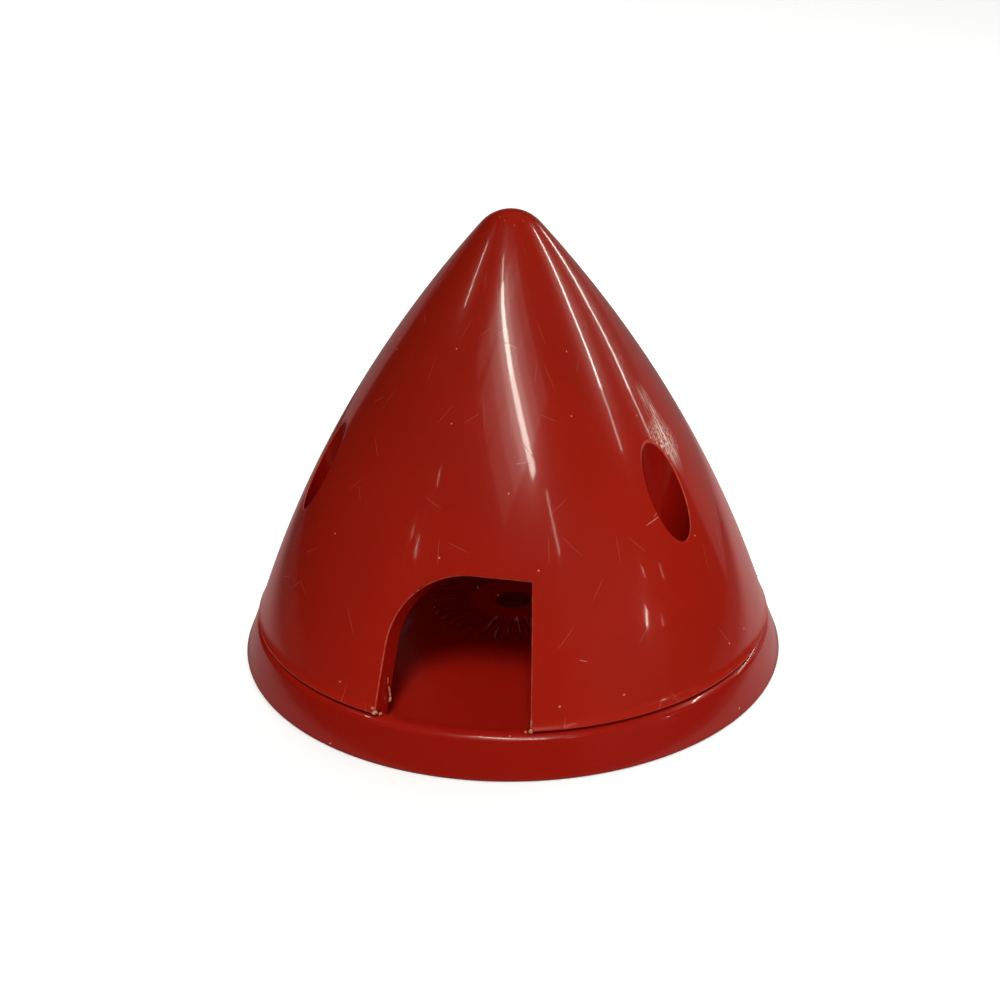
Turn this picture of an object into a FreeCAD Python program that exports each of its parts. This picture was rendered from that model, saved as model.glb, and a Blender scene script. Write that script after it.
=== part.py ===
import FreeCAD, Part
import math
import os

import Sketcher
from FreeCAD import Vector

# Three-blade propeller spinner, moulded in nylon.
# A thin-walled ogive cone covers the propeller hub and drops its lip into the rim of
# a flanged backplate. Three screws at the bottom of deep wells hold the two together.
# Millimetres. Z points from the back face to the tip and passes through the shaft bore,
# the origin is the centre of the back face, and one blade opening faces -Y.

SIZES = [
    ("blade_count", "3", "blade openings in the cone, and screws between them"),
    ("overall_height", "58.3", "back face to the tip of the cone"),
    ("spinner_radius", "38.1", "flange at the back face"),
    ("flange_taper", "20.0", "lean of the flange side, degrees from the axis"),
    ("ledge_level", "4.8", "ledge of the flange that the cone stands over"),
    ("shoulder_radius", "1.0", "rounding from the flange side to the ledge"),
    ("foot_radius", "0.3", "rounding of the flange at the back face"),
    ("rim_width", "1.85", "ledge from the flange's upper corner to the socket"),
    ("floor_level", "3.3", "front face of the backplate inside the rim"),
    ("socket_edge", "0.2", "rounding of the rim's inner edge"),
    ("parting_gap", "0.4", "shadow gap between the ledge and the cone"),
    ("lip_clearance", "0.2", "lip of the cone inside the rim, on the radius"),
    ("cone_inset", "0.75", "outside of the cone in from the flange's upper corner"),
    ("cone_wall", "2.8", "wall of the cone, square to its surface"),
    ("ogive_radius", "153.4", "curve of the cone's side"),
    ("tip_radius", "5.2", "rounded tip outside"),
    ("inner_tip_radius", "3.0", "rounded tip inside"),
    ("opening_gauge", "30.0", "distance from the axis where the opening is measured"),
    ("opening_left", "7.2", "left jamb from the middle of the opening"),
    ("opening_right", "8.7", "right jamb from the middle, at the cone's lower edge"),
    ("opening_lean", "2.6", "lean of the right jamb, degrees"),
    ("opening_height", "16.5", "top of the opening above the cone's lower edge"),
    ("opening_corner", "9.4", "rounded corner that clears the blade root"),
    ("opening_drop", "8.0", "how far the cut runs on below the cone's lower edge"),
    ("well_inset", "12.6", "screw wells in from the edge of the flange"),
    ("tower_wall", "1.8", "wall of the tower round a well"),
    ("web_width", "2.4", "web from a tower out to the cone's wall"),
    ("seat_thickness", "3.5", "tower floor under a screw head"),
    ("boss_radius", "4.2", "boss of the backplate under a tower"),
    ("boss_height", "3.5", "boss above the floor of the backplate"),
    ("bore_radius", "2.6", "shaft bore"),
    ("serration_start", "6.2", "inner end of a grip serration, from the axis"),
    ("serration_end", "11.8", "outer end of a grip serration, from the axis"),
    ("serration_count", "40", "radial serrations that grip the propeller hub"),
    ("serration_height", "0.6", "crest of a serration above the floor"),
    ("serration_width", "0.7", "foot of a serration"),
    ("core_depth", "1.0", "recess in the back face"),
    ("hub_pad_radius", "13.5", "flat pad round the bore at the back face"),
    ("rear_band", "4.1", "flange band at the back face"),
    ("rib_width", "1.8", "ribs across the recess"),
    ("screw_length", "9.5", "self-tapping screw under its head"),
    ("screw_core", "1.12", "radius of the screw inside its thread"),
    ("screw_point", "2.4", "length of the screw's point"),
    ("point_radius", "0.3", "radius at the end of the point"),
    ("thread_radius", "1.45", "outside of the screw's thread"),
    ("thread_clearance", "0.2", "hole of the tower round the thread"),
    ("pilot_clearance", "0.08", "pilot hole of the boss round the core"),
    ("head_radius", "2.8", "pan head"),
    ("head_height", "2.3", "pan head"),
    ("head_rounding", "1.2", "rounding of the pan head"),
    ("head_clearance", "0.33", "screw well round the head"),
    ("recess_depth", "1.4", "cross recess"),
    ("recess_width", "0.9", "slot of the cross recess"),
    ("recess_reach", "1.5", "arm of the cross recess from its centre"),
]

# Levels and radii that follow from the sizes above.
LEDGE_RADIUS = "(dims.spinner_radius - dims.ledge_level * tan(dims.flange_taper * 1deg))"
SOCKET_RADIUS = f"({LEDGE_RADIUS} - dims.rim_width)"
CONE_RADIUS = f"({LEDGE_RADIUS} - dims.cone_inset)"
CONE_EDGE = "(dims.ledge_level + dims.parting_gap)"
LIP_RADIUS = f"({SOCKET_RADIUS} - dims.lip_clearance)"
BOSS_TOP = "(dims.floor_level + dims.boss_height)"
SCREW_SEAT = f"({BOSS_TOP} + dims.seat_thickness)"
HEAD_TOP = f"({SCREW_SEAT} + dims.head_height)"
SCREW_END = f"({SCREW_SEAT} - dims.screw_length)"
WELL_RADIUS = "(dims.head_radius + dims.head_clearance)"
TOWER_RADIUS = f"({WELL_RADIUS} + dims.tower_wall)"
INNER_OGIVE = "(dims.ogive_radius - dims.cone_wall)"
MID_WALL = "dims.cone_wall / 2"
PITCH = "(360 / dims.blade_count)"
WELL_CIRCLE = "(dims.spinner_radius - dims.well_inset)"
# Openings start at -Y and a well stands midway between two of them.
WELL_START = f"(-90 + {PITCH} / 2)"
WELL_X = f"({WELL_CIRCLE} * cos({WELL_START} * 1deg))"
WELL_Y = f"({WELL_CIRCLE} * sin({WELL_START} * 1deg))"

# Numbers that a sketch gives to the points of a line or arc, and to its own axes.
START, END, CENTRE = range(1, 4)
ORIGIN = AXIS_X = -1
AXIS_Y = AXIS_X - 1


def make_sheet(doc):
    sheet = doc.addObject("Spreadsheet::Sheet", "dims")
    for row, (alias, number, meaning) in enumerate(SIZES, start=1):
        sheet.set(f"A{row}", number)
        sheet.setAlias(f"A{row}", alias)
        sheet.set(f"B{row}", meaning)
    doc.recompute()
    return sheet


def value(owner, expression):
    return float(owner.evalExpression(expression))


def make_body(doc, label):
    body = doc.addObject("PartDesign::Body", label)
    body.Label = label
    return body


def origin_part(body, role):
    return next(part for part in body.Origin.OriginFeatures if part.Role == role)


def make_sketch(body, name, plane, offset=None):
    sketch = body.newObject("Sketcher::SketchObject", name)
    sketch.AttachmentSupport = (origin_part(body, plane), [""])
    sketch.MapMode = "FlatFace"
    if offset:
        sketch.setExpression("AttachmentOffset.Base.z", offset)
    return sketch


def hold(sketch, constraint, expression):
    index = sketch.addConstraint(constraint)
    sketch.setExpression(f"Constraints[{index}]", expression)


def hold_x(sketch, shape, point, expression):
    if expression == "0":
        sketch.addConstraint(Sketcher.Constraint("PointOnObject", shape, point, AXIS_Y))
    else:
        start = value(sketch, expression)
        hold(sketch, Sketcher.Constraint("DistanceX", ORIGIN, START, shape, point, start), expression)


def hold_y(sketch, shape, point, expression):
    if expression == "0":
        sketch.addConstraint(Sketcher.Constraint("PointOnObject", shape, point, AXIS_X))
    else:
        start = value(sketch, expression)
        hold(sketch, Sketcher.Constraint("DistanceY", ORIGIN, START, shape, point, start), expression)


def hold_radius(sketch, shape, expression):
    start = value(sketch, expression)
    hold(sketch, Sketcher.Constraint("Radius", shape, start), expression)


def join(sketch, first, first_point, second, second_point, kind="Coincident"):
    sketch.addConstraint(Sketcher.Constraint(kind, first, first_point, second, second_point))


def add_line(sketch, start, end):
    return sketch.addGeometry(Part.LineSegment(start, end))


def add_arc(sketch, centre, radius, start_angle, end_angle):
    circle = Part.Circle(centre, Vector(0, 0, 1), radius)
    return sketch.addGeometry(Part.ArcOfCircle(circle, start_angle, end_angle))


def add_circle(sketch, x, y, radius):
    centre = Vector(value(sketch, x), value(sketch, y), 0)
    shape = sketch.addGeometry(Part.Circle(centre, Vector(0, 0, 1), value(sketch, radius)))
    hold_x(sketch, shape, CENTRE, x)
    hold_y(sketch, shape, CENTRE, y)
    hold_radius(sketch, shape, radius)


def add_polygon(sketch, corners):
    """Closed outline of straight lines, each corner held by two expressions."""
    points = [Vector(value(sketch, x), value(sketch, y), 0) for x, y in corners]
    lines = [add_line(sketch, a, b) for a, b in zip(points, points[1:] + points[:1])]
    for index, (x, y) in enumerate(corners):
        join(sketch, lines[index - 1], END, lines[index], START)
        hold_x(sketch, lines[index], START, x)
        hold_y(sketch, lines[index], START, y)


def volume_of(body):
    shape = body.Shape
    return 0.0 if shape.isNull() else shape.Volume


def finish_feature(body, feature, volume_before, grows):
    body.Document.recompute()
    change = volume_of(body) - volume_before
    if (change > 0) != grows or "Invalid" in feature.State:
        raise RuntimeError(f"{feature.Name} changed the volume of {body.Label} by {change:.3f}")
    return feature


def revolve(body, name, sketch):
    before = volume_of(body)
    feature = body.newObject("PartDesign::Revolution", name)
    feature.Profile = sketch
    feature.ReferenceAxis = (sketch, ["V_Axis"])
    feature.Angle = 360
    return finish_feature(body, feature, before, grows=True)


def pad(body, name, sketch, length):
    before = volume_of(body)
    feature = body.newObject("PartDesign::Pad", name)
    feature.Profile = sketch
    feature.setExpression("Length", length)
    return finish_feature(body, feature, before, grows=True)


def pocket(body, name, sketch, length, upwards=True):
    before = volume_of(body)
    feature = body.newObject("PartDesign::Pocket", name)
    feature.Profile = sketch
    feature.Reversed = upwards
    feature.setExpression("Length", length)
    return finish_feature(body, feature, before, grows=False)


def polar_pattern(body, name, features, count, grows):
    before = volume_of(body)
    pattern = body.newObject("PartDesign::PolarPattern", name)
    pattern.Originals = features
    pattern.Axis = (origin_part(body, "Z_Axis"), [""])
    pattern.Angle = 360
    pattern.setExpression("Occurrences", count)
    body.Tip = pattern
    return finish_feature(body, pattern, before, grows)


def combine(body, name, kind, tool):
    before = volume_of(body)
    feature = body.newObject("PartDesign::Boolean", name)
    feature.Type = kind
    feature.setObjects([tool])
    body.Tip = feature
    return finish_feature(body, feature, before, grows=kind == "Fuse")


def round_rim(body, name, radius, level, rounding):
    """Round the circular edges that lie on the given radius and level."""
    base = body.Tip
    wanted = value(body, radius), value(body, level)
    edges = []
    for number, edge in enumerate(base.Shape.Edges, start=1):
        if not isinstance(edge.Curve, Part.Circle):
            continue
        found = edge.Curve.Radius, edge.Curve.Center.z
        if all(math.isclose(a, b, abs_tol=1e-4) for a, b in zip(found, wanted)):
            edges.append(f"Edge{number}")
    before = volume_of(body)
    feature = body.newObject("PartDesign::Fillet", name)
    feature.Base = (base, edges)
    feature.setExpression("Radius", rounding)
    return finish_feature(body, feature, before, grows=False)


def turn_of(centre, point):
    return math.atan2(point.y - centre.y, point.x - centre.x)


def side_centre(edge, tip, side_radius, tip_radius):
    """Centre of the side curve that starts at the lower edge and rolls into the tip."""
    span = edge - tip
    reach = side_radius - tip_radius
    along = (reach ** 2 - side_radius ** 2 + span.Length ** 2) / (2 * span.Length)
    across = math.sqrt(reach ** 2 - along ** 2)
    way = Vector(span.x, span.y, 0).normalize()
    return tip + way * along + Vector(way.y, -way.x, 0) * across


def add_side_and_tip(sketch, inset="0"):
    """Side curve and rounded tip of the cone, as far inside its surface as the inset."""
    side_size = f"dims.ogive_radius - {inset}"
    tip_size = f"dims.tip_radius - {inset}"
    edge_x = f"{CONE_RADIUS} - {inset}"
    top_y = f"dims.overall_height - {inset}"
    side_radius, tip_radius = value(sketch, side_size), value(sketch, tip_size)
    edge = Vector(value(sketch, edge_x), value(sketch, CONE_EDGE), 0)
    top = Vector(0, value(sketch, top_y), 0)
    tip = top - Vector(0, tip_radius, 0)
    centre = side_centre(edge, tip, side_radius, tip_radius)
    meeting = turn_of(centre, tip)
    side = add_arc(sketch, centre, side_radius, turn_of(centre, edge), meeting)
    point = add_arc(sketch, tip, tip_radius, meeting, math.pi / 2)
    join(sketch, side, END, point, START, "Tangent")
    hold_x(sketch, side, START, edge_x)
    hold_y(sketch, side, START, CONE_EDGE)
    hold_radius(sketch, side, side_size)
    hold_radius(sketch, point, tip_size)
    hold_x(sketch, point, CENTRE, "0")
    hold_x(sketch, point, END, "0")
    hold_y(sketch, point, END, top_y)
    return side, point, centre, edge, top


def make_cone_blank(doc):
    """Solid cone up to the middle of the wall, which trims the towers inside the wall."""
    body = make_body(doc, "cone_blank")
    sketch = make_sketch(body, "blank_outline", "XZ_Plane")
    side, point, _, edge, top = add_side_and_tip(sketch, MID_WALL)
    foot = Vector(0, value(sketch, "dims.floor_level"), 0)
    below = Vector(edge.x, foot.y, 0)
    axis = add_line(sketch, top, foot)
    floor = add_line(sketch, foot, below)
    wall = add_line(sketch, below, edge)
    join(sketch, point, END, axis, START)
    join(sketch, axis, END, floor, START)
    join(sketch, floor, END, wall, START)
    join(sketch, wall, END, side, START)
    sketch.addConstraint(Sketcher.Constraint("Horizontal", floor))
    sketch.addConstraint(Sketcher.Constraint("Vertical", wall))
    hold_x(sketch, axis, END, "0")
    hold_y(sketch, axis, END, "dims.floor_level")
    revolve(body, "blank", sketch)
    return body


def make_well_towers(doc, cone_blank):
    """Towers that carry the screws, each tied to the wall by a web."""
    body = make_body(doc, "well_towers")
    towers = make_sketch(body, "tower_outline", "XY_Plane", BOSS_TOP)
    add_circle(towers, WELL_X, WELL_Y, TOWER_RADIUS)
    tower = pad(body, "tower", towers, f"dims.overall_height - {BOSS_TOP}")
    webs = make_sketch(body, "web_outline", "XY_Plane", BOSS_TOP)
    # The web is drawn along X and turned to the first well by its attachment.
    webs.setExpression("AttachmentOffset.Rotation.Angle", f"{WELL_START} * 1deg")
    half = "dims.web_width / 2"
    reach = f"{CONE_RADIUS} - {MID_WALL}"
    add_polygon(webs, [
        (WELL_CIRCLE, f"-{half}"),
        (reach, f"-{half}"),
        (reach, half),
        (WELL_CIRCLE, half),
    ])
    web = pad(body, "web", webs, f"dims.overall_height - {BOSS_TOP}")
    polar_pattern(body, "towers", [tower, web], "dims.blade_count", grows=True)
    combine(body, "towers_in_cone", "Common", cone_blank)
    return body


def make_shell_sketch(body):
    """Section of the cone's wall, with the lip that drops into the rim."""
    sketch = make_sketch(body, "wall_section", "XZ_Plane")
    side, point, centre, edge, top = add_side_and_tip(sketch)

    inner_side_radius = value(sketch, INNER_OGIVE)
    inner_tip_radius = value(sketch, "dims.inner_tip_radius")
    floor = value(sketch, "dims.floor_level")
    inner_reach = inner_side_radius - inner_tip_radius
    inner_tip = Vector(0, centre.y + math.sqrt(inner_reach ** 2 - centre.x ** 2), 0)
    meeting = turn_of(centre, inner_tip)
    lip_turn = math.asin((floor - centre.y) / inner_side_radius)
    inner_side = add_arc(sketch, centre, inner_side_radius, lip_turn, meeting)
    inner_point = add_arc(sketch, inner_tip, inner_tip_radius, meeting, math.pi / 2)

    inner_top = inner_tip + Vector(0, inner_tip_radius, 0)
    lip_inner = centre + Vector(math.cos(lip_turn), math.sin(lip_turn), 0) * inner_side_radius
    lip_outer = Vector(value(sketch, LIP_RADIUS), floor, 0)
    step = Vector(lip_outer.x, edge.y, 0)
    tip_line = add_line(sketch, top, inner_top)
    lip_foot = add_line(sketch, lip_inner, lip_outer)
    lip_side = add_line(sketch, lip_outer, step)
    edge_line = add_line(sketch, step, edge)

    join(sketch, inner_side, END, inner_point, START, "Tangent")
    join(sketch, side, CENTRE, inner_side, CENTRE)
    join(sketch, point, END, tip_line, START)
    join(sketch, tip_line, END, inner_point, END)
    join(sketch, inner_side, START, lip_foot, START)
    join(sketch, lip_foot, END, lip_side, START)
    join(sketch, lip_side, END, edge_line, START)
    join(sketch, edge_line, END, side, START)
    sketch.addConstraint(Sketcher.Constraint("Horizontal", lip_foot))
    sketch.addConstraint(Sketcher.Constraint("Vertical", lip_side))
    sketch.addConstraint(Sketcher.Constraint("Horizontal", edge_line))
    hold_radius(sketch, inner_side, INNER_OGIVE)
    hold_radius(sketch, inner_point, "dims.inner_tip_radius")
    hold_x(sketch, inner_point, CENTRE, "0")
    hold_x(sketch, inner_point, END, "0")
    hold_x(sketch, lip_foot, END, LIP_RADIUS)
    hold_y(sketch, lip_foot, END, "dims.floor_level")
    return sketch


def make_opening_section(body, name, distance):
    """Blade opening as it stands at a distance from the axis.

    Its jambs and its top all run towards the point of the axis at the level of the
    cone's lower edge, so the sizes of the section grow with the distance.
    """
    sketch = make_sketch(body, name, "XZ_Plane", distance)
    scale = f"({distance}) / dims.opening_gauge"
    left = f"-dims.opening_left * {scale}"
    right = f"dims.opening_right * {scale}"
    lean = "tan(dims.opening_lean * 1deg)"
    top = f"{CONE_EDGE} + dims.opening_height * {scale}"
    low = f"{CONE_EDGE} - dims.opening_drop * {scale}"
    top_right = f"(dims.opening_right + dims.opening_height * {lean}) * {scale}"
    low_right = f"(dims.opening_right - dims.opening_drop * {lean}) * {scale}"
    corner = f"dims.opening_corner * {scale}"

    left_x, top_y, low_y = value(sketch, left), value(sketch, top), value(sketch, low)
    radius = value(sketch, corner)
    jamb_top = Vector(left_x, top_y - radius, 0)
    curve_end = Vector(left_x + radius, top_y, 0)
    right_top = Vector(value(sketch, top_right), top_y, 0)
    right_low = Vector(value(sketch, low_right), low_y, 0)
    left_low = Vector(left_x, low_y, 0)
    left_jamb = add_line(sketch, left_low, jamb_top)
    curve = add_arc(sketch, Vector(curve_end.x, jamb_top.y, 0), radius, math.pi / 2, math.pi)
    top_edge = add_line(sketch, curve_end, right_top)
    right_jamb = add_line(sketch, right_top, right_low)
    sill = add_line(sketch, right_low, left_low)
    join(sketch, left_jamb, END, curve, END, "Tangent")
    join(sketch, curve, START, top_edge, START, "Tangent")
    join(sketch, top_edge, END, right_jamb, START)
    join(sketch, right_jamb, END, sill, START)
    join(sketch, sill, END, left_jamb, START)
    sketch.addConstraint(Sketcher.Constraint("Vertical", left_jamb))
    sketch.addConstraint(Sketcher.Constraint("Horizontal", top_edge))
    sketch.addConstraint(Sketcher.Constraint("Horizontal", sill))
    hold_radius(sketch, curve, corner)
    hold_x(sketch, left_jamb, START, left)
    hold_x(sketch, right_jamb, START, top_right)
    hold_y(sketch, right_jamb, START, top)
    hold_x(sketch, right_jamb, END, low_right)
    hold_y(sketch, right_jamb, END, low)
    return sketch


def cut_blade_openings(body):
    # The cut starts inside the hollow and ends outside the flange.
    near = make_opening_section(body, "opening_inside", "dims.opening_gauge / 2")
    far = make_opening_section(body, "opening_outside", "dims.spinner_radius + dims.cone_wall")
    before = volume_of(body)
    loft = body.newObject("PartDesign::SubtractiveLoft", "blade_opening")
    loft.Profile = near
    loft.Sections = [far]
    loft.Ruled = True
    finish_feature(body, loft, before, grows=False)
    polar_pattern(body, "blade_openings", [loft], "dims.blade_count", grows=False)


def cut_screw_wells(body):
    wells = make_sketch(body, "well_outline", "XY_Plane", SCREW_SEAT)
    add_circle(wells, WELL_X, WELL_Y, WELL_RADIUS)
    well = pocket(body, "screw_well", wells, "dims.overall_height")
    polar_pattern(body, "screw_wells", [well], "dims.blade_count", grows=False)
    holes = make_sketch(body, "hole_outline", "XY_Plane")
    add_circle(holes, WELL_X, WELL_Y, "dims.thread_radius + dims.thread_clearance")
    hole = pocket(body, "screw_hole", holes, SCREW_SEAT)
    polar_pattern(body, "screw_holes", [hole], "dims.blade_count", grows=False)


def make_spinner_cone(doc):
    towers = make_well_towers(doc, make_cone_blank(doc))
    body = make_body(doc, "spinner_cone")
    revolve(body, "wall", make_shell_sketch(body))
    combine(body, "wall_and_towers", "Fuse", towers)
    cut_blade_openings(body)
    cut_screw_wells(body)
    return body


def make_backplate_disc(body):
    """Flange, rim and floor in one turn, with the recess in the back face."""
    sketch = make_sketch(body, "plate_section", "XZ_Plane")
    band = "(dims.spinner_radius - dims.rear_band)"
    add_polygon(sketch, [
        ("dims.bore_radius", "0"),
        ("dims.hub_pad_radius", "0"),
        ("dims.hub_pad_radius", "dims.core_depth"),
        (band, "dims.core_depth"),
        (band, "0"),
        ("dims.spinner_radius", "0"),
        (LEDGE_RADIUS, "dims.ledge_level"),
        (SOCKET_RADIUS, "dims.ledge_level"),
        (SOCKET_RADIUS, "dims.floor_level"),
        ("dims.bore_radius", "dims.floor_level"),
    ])
    revolve(body, "disc", sketch)
    round_rim(body, "shoulder", LEDGE_RADIUS, "dims.ledge_level", "dims.shoulder_radius")
    round_rim(body, "foot", "dims.spinner_radius", "0", "dims.foot_radius")
    round_rim(body, "rim_edge", SOCKET_RADIUS, "dims.ledge_level", "dims.socket_edge")


def add_rear_ribs(body):
    """Two ribs for each screw cross the recess, one under the boss and one midway."""
    sketch = make_sketch(body, "rib_outline", "XY_Plane")
    sketch.setExpression("AttachmentOffset.Rotation.Angle", f"{WELL_START} * 1deg")
    half = "dims.rib_width / 2"
    inner = "(dims.hub_pad_radius - dims.rib_width)"
    outer = "(dims.spinner_radius - dims.rear_band + dims.rib_width)"
    add_polygon(sketch, [
        (inner, f"-{half}"),
        (outer, f"-{half}"),
        (outer, half),
        (inner, half),
    ])
    rib = pad(body, "rear_rib", sketch, "(dims.core_depth + dims.floor_level) / 2")
    polar_pattern(body, "rear_ribs", [rib], "2 * dims.blade_count", grows=True)


def add_bosses(body):
    sketch = make_sketch(body, "boss_outline", "XY_Plane")
    add_circle(sketch, WELL_X, WELL_Y, "dims.boss_radius")
    boss = pad(body, "boss", sketch, BOSS_TOP)
    polar_pattern(body, "bosses", [boss], "dims.blade_count", grows=True)
    holes = make_sketch(body, "pilot_outline", "XY_Plane")
    add_circle(holes, WELL_X, WELL_Y, "dims.screw_core + dims.pilot_clearance")
    hole = pocket(body, "pilot_hole", holes, f"{BOSS_TOP} + dims.boss_height")
    polar_pattern(body, "pilot_holes", [hole], "dims.blade_count", grows=False)


def add_serrations(body):
    sketch = make_sketch(body, "serration_outline", "YZ_Plane", "dims.serration_start")
    half = "dims.serration_width / 2"
    root = "dims.floor_level - dims.serration_height"
    add_polygon(sketch, [
        (f"-{half}", root),
        (half, root),
        (half, "dims.floor_level"),
        ("0", "dims.floor_level + dims.serration_height"),
        (f"-{half}", "dims.floor_level"),
    ])
    ridge = pad(body, "serration", sketch, "dims.serration_end - dims.serration_start")
    polar_pattern(body, "serrations", [ridge], "dims.serration_count", grows=True)


def make_backplate(doc):
    body = make_body(doc, "backplate")
    make_backplate_disc(body)
    add_rear_ribs(body)
    add_bosses(body)
    add_serrations(body)
    return body


def make_cone_screw(doc, number):
    """Self-tapping pan-head screw, standing in well number counted from the first."""
    body = make_body(doc, f"cone_screw_{number}")
    sketch = make_sketch(body, "screw_section", "XZ_Plane")
    add_polygon(sketch, [
        ("0", SCREW_END),
        ("dims.point_radius", SCREW_END),
        ("dims.screw_core", f"{SCREW_END} + dims.screw_point"),
        ("dims.screw_core", SCREW_SEAT),
        ("dims.head_radius", SCREW_SEAT),
        ("dims.head_radius", HEAD_TOP),
        ("0", HEAD_TOP),
    ])
    revolve(body, "shank_and_head", sketch)
    round_rim(body, "pan", "dims.head_radius", HEAD_TOP, "dims.head_rounding")
    recess = make_sketch(body, "recess_outline", "XY_Plane", HEAD_TOP)
    arm, half = "dims.recess_reach", "dims.recess_width / 2"
    add_polygon(recess, [
        (arm, f"-{half}"), (arm, half), (half, half), (half, arm),
        (f"-{half}", arm), (f"-{half}", half), (f"-{arm}", half), (f"-{arm}", f"-{half}"),
        (f"-{half}", f"-{half}"), (f"-{half}", f"-{arm}"), (half, f"-{arm}"), (half, f"-{half}"),
    ])
    pocket(body, "recess", recess, "dims.recess_depth", upwards=False)
    angle = f"({WELL_START} + {number - 1} * {PITCH})"
    body.setExpression(".Placement.Base.x", f"{WELL_CIRCLE} * cos({angle} * 1deg)")
    body.setExpression(".Placement.Base.y", f"{WELL_CIRCLE} * sin({angle} * 1deg)")
    return body


def check_model(doc, pieces):
    doc.recompute()
    failed = [item.Name for item in doc.Objects if {"Invalid", "Error"} & set(item.State)]
    if failed:
        raise RuntimeError(f"failed features: {failed}")
    for piece in pieces:
        shape = piece.Shape
        if shape.isNull() or not shape.isValid() or len(shape.Solids) != 1:
            raise RuntimeError(f"{piece.Label} is not one valid solid")


def main():
    doc = FreeCAD.newDocument("propeller_spinner")
    make_sheet(doc)
    pieces = [make_spinner_cone(doc), make_backplate(doc)]
    screws = int(doc.dims.blade_count)
    pieces += [make_cone_screw(doc, number) for number in range(1, screws + 1)]
    check_model(doc, pieces)
    os.makedirs("parts", exist_ok=True)
    for piece in pieces:
        piece.Shape.exportStep(os.path.join("parts", f"{piece.Label}.step"))
        print(f"{piece.Label}: {piece.Shape.Volume / 1000:.2f} cm3, {len(piece.Shape.Faces)} faces")


main()
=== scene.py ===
import math
import random

import bpy
from mathutils import Matrix, Vector


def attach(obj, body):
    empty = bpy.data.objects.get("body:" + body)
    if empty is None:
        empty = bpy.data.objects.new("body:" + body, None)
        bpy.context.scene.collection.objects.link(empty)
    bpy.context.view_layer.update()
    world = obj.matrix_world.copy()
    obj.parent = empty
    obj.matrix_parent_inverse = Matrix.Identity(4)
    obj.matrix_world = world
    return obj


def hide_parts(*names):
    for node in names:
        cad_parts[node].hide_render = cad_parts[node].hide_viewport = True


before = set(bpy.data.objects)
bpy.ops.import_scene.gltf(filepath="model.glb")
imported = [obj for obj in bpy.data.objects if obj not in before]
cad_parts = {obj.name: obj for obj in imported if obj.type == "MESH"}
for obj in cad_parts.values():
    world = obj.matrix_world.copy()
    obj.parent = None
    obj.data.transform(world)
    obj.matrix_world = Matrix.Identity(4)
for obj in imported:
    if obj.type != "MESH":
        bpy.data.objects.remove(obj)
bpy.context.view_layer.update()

# Three-blade propeller spinner. Lengths below are millimetres, as on the part's drawing.
# Blender's own unit is the metre, and MM turns one into the other. The flange's taper, its
# shoulder and the foot of the cone stand up to half a millimetre off the drawing, where
# the real mouldings do.
MM = 0.001

BLADES = 3
PITCH = 2 * math.pi / BLADES
HEIGHT = 58.3

FLANGE_RADIUS = 38.1
FLANGE_TAPER = math.radians(24.0)
LEDGE_LEVEL = 4.8
SHOULDER_RADIUS = 1.2
FOOT_RADIUS = 0.3
LEDGE_RADIUS = FLANGE_RADIUS - LEDGE_LEVEL * math.tan(FLANGE_TAPER)
RIM_WIDTH = 1.45
SOCKET_RADIUS = LEDGE_RADIUS - RIM_WIDTH
SOCKET_EDGE = 0.2
FLOOR_LEVEL = 3.3

LIP_PLAY = 0.2
LIP_RADIUS = SOCKET_RADIUS - LIP_PLAY
LIP_CHAMFER = 0.3
PARTING_GAP = 0.4
CONE_EDGE = LEDGE_LEVEL + PARTING_GAP
CONE_INSET = 0.15
CONE_RADIUS = LEDGE_RADIUS - CONE_INSET
CONE_WALL = 2.8
OGIVE_RADIUS = 153.4
TIP_RADIUS = 5.2
INNER_TIP_RADIUS = 3.0

# Bead that the mould's parting left along the cone's lower edge.
BEAD_SIZE = 0.1
BEAD_START = 0.4
BEAD_CREST = 0.24
BEAD_TOP_INSET = 0.02
BEAD_LOW_INSET = 0.04

OPENING_GAUGE = 30.0
OPENING_LEFT = 7.2
OPENING_RIGHT = 8.7
OPENING_LEAN = math.tan(math.radians(2.6))
OPENING_HEIGHT = 16.5
OPENING_CORNER = 9.4
OPENING_DROP = 8.0

WELL_INSET = 12.6
WELL_CIRCLE = FLANGE_RADIUS - WELL_INSET
WELL_RADIUS = 3.13
FIRST_WELL = math.radians(-90 + 180 / BLADES)
TOWER_WALL = 1.8
TOWER_RADIUS = WELL_RADIUS + TOWER_WALL
TOWER_FLOOR = 3.5
WEB_WIDTH = 2.4
BOSS_RADIUS = 4.2
BOSS_HEIGHT = 3.5
BOSS_TOP = FLOOR_LEVEL + BOSS_HEIGHT
SCREW_SEAT = BOSS_TOP + TOWER_FLOOR
SCREW_HOLE_RADIUS = 1.65
PILOT_RADIUS = 1.2

BORE_RADIUS = 2.6
SERRATIONS = 40
SERRATION_START = 6.2
SERRATION_END = 11.8
SERRATION_HEIGHT = 0.6
SERRATION_WIDTH = 0.7
SERRATION_BLUNT = 0.06
SERRATION_CREST_DROP = 0.04
SERRATION_RUNOUT = 0.8
SERRATION_END_HEIGHT = 0.08
CORE_DEPTH = 1.0
HUB_PAD_RADIUS = 13.5
REAR_BAND_RADIUS = 34.0
RIB_WIDTH = 1.8

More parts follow.
